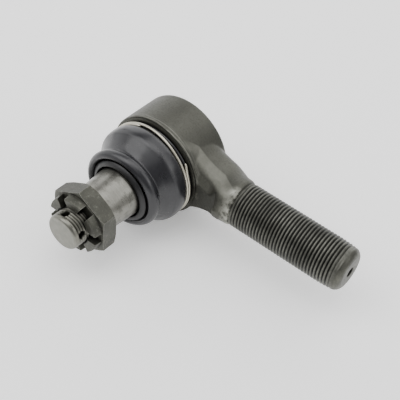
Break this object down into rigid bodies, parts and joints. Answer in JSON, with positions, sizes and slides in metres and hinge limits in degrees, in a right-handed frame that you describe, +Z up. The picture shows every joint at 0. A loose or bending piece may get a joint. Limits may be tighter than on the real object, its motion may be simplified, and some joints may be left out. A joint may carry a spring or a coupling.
{
  "type": "tie rod end",
  "caption": "Heavy duty tie rod end: forged ball housing with a threaded shank, a tapered ball stud under a rubber boot and a slotted castle nut.",
  "frame": {"origin": "centre of the ball, where the shank axis and the stud axis meet", "axes": "+X along the threaded shank to its free end, -Y along the stud to its threaded tip, +Z up as the part lies on its side"},
  "size_m": [0.1684, 0.1216, 0.0668],
  "materials": {
    "housing": "phosphated forged steel, satin",
    "ball_stud": "turned and ground steel",
    "castle_nut": "phosphated steel, satin",
    "dust_boot": "smooth moulded synthetic rubber",
    "boot_lip_insert": "moulded sealing bush",
    "boot_clamp_ring": "bright round spring wire",
    "front_ball_seat": "hardened bearing steel, greased",
    "rear_ball_seat": "hardened bearing steel, greased",
    "pressure_ring": "plain steel",
    "disc_spring": "blued spring steel",
    "cover_plate": "phosphated pressed steel",
    "grease_fitting_body": "yellow zinc plated steel",
    "grease_fitting_ball": "polished steel",
    "grease_fitting_spring": "spring wire"
  },
  "bodies": {
    "housing": {"housing": "housing", "boot_clamp_ring": "boot_clamp_ring", "pressure_ring": "pressure_ring", "disc_spring": "disc_spring", "cover_plate": "cover_plate", "grease_fitting_body": "grease_fitting_body", "grease_fitting_ball": "grease_fitting_ball", "grease_fitting_spring": "grease_fitting_spring"},
    "ball_seats": {"front_ball_seat": "front_ball_seat", "rear_ball_seat": "rear_ball_seat", "dust_boot": "dust_boot"},
    "boot_neck": {"boot_lip_insert": "boot_lip_insert"},
    "stud": {"ball_stud": "ball_stud"},
    "nut": {"castle_nut": "castle_nut"}
  },
  "joints": [
    {"name": "stud_swing_direction", "type": "hinge", "parent": "housing", "child": "ball_seats", "pos_m": [0, 0, 0], "axis": [0, -1, 0], "continuous": true},
    {"name": "stud_tilt", "type": "hinge", "parent": "ball_seats", "child": "boot_neck", "pos_m": [0, 0, 0], "axis": [0, 0, 1], "range_deg": [-20, 20], "deforming": ["dust_boot"]},
    {"name": "stud_spin", "type": "hinge", "parent": "boot_neck", "child": "stud", "pos_m": [0, 0, 0], "axis": [0, -1, 0], "continuous": true},
    {"name": "nut_turn", "type": "hinge", "parent": "stud", "child": "nut", "pos_m": [0, -0.07, 0], "axis": [0, -1, 0], "range_deg": [-30, 30]}
  ]
}
